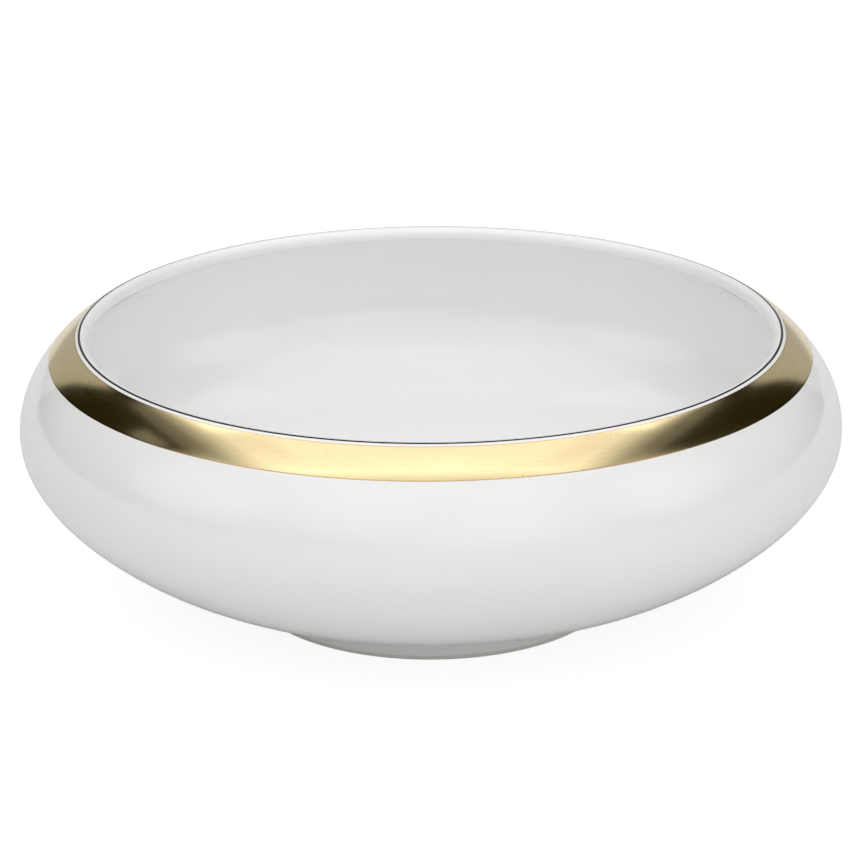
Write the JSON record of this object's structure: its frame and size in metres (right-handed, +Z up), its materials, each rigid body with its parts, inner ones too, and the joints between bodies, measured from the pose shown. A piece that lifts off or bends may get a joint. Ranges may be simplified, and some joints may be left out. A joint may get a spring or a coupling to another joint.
{
  "type": "serving bowl",
  "caption": "Deep round porcelain serving bowl: wide belly, shoulder leaning in to a rounded lip with a gold band and a thin black line, on a low foot ring.",
  "frame": {"origin": "centre of the flat bearing face of the foot ring, where the bowl stands", "axes": "+Z up along the bowl's axis of revolution, from the foot towards the mouth; X and Y are any two level directions, since the bowl is round"},
  "size_m": [0.25, 0.25, 0.0866],
  "materials": {
    "biscuit": "matte",
    "white_glaze": "gloss",
    "gold": "satin",
    "black_enamel": "gloss"
  },
  "bodies": {
    "root": {"bowl_body": "biscuit", "foot_ring": "biscuit", "outside_glaze": "white_glaze", "inside_glaze": "white_glaze", "underside_glaze": "white_glaze", "gold_band": "gold", "rim_line": "black_enamel"}
  },
  "joints": []
}
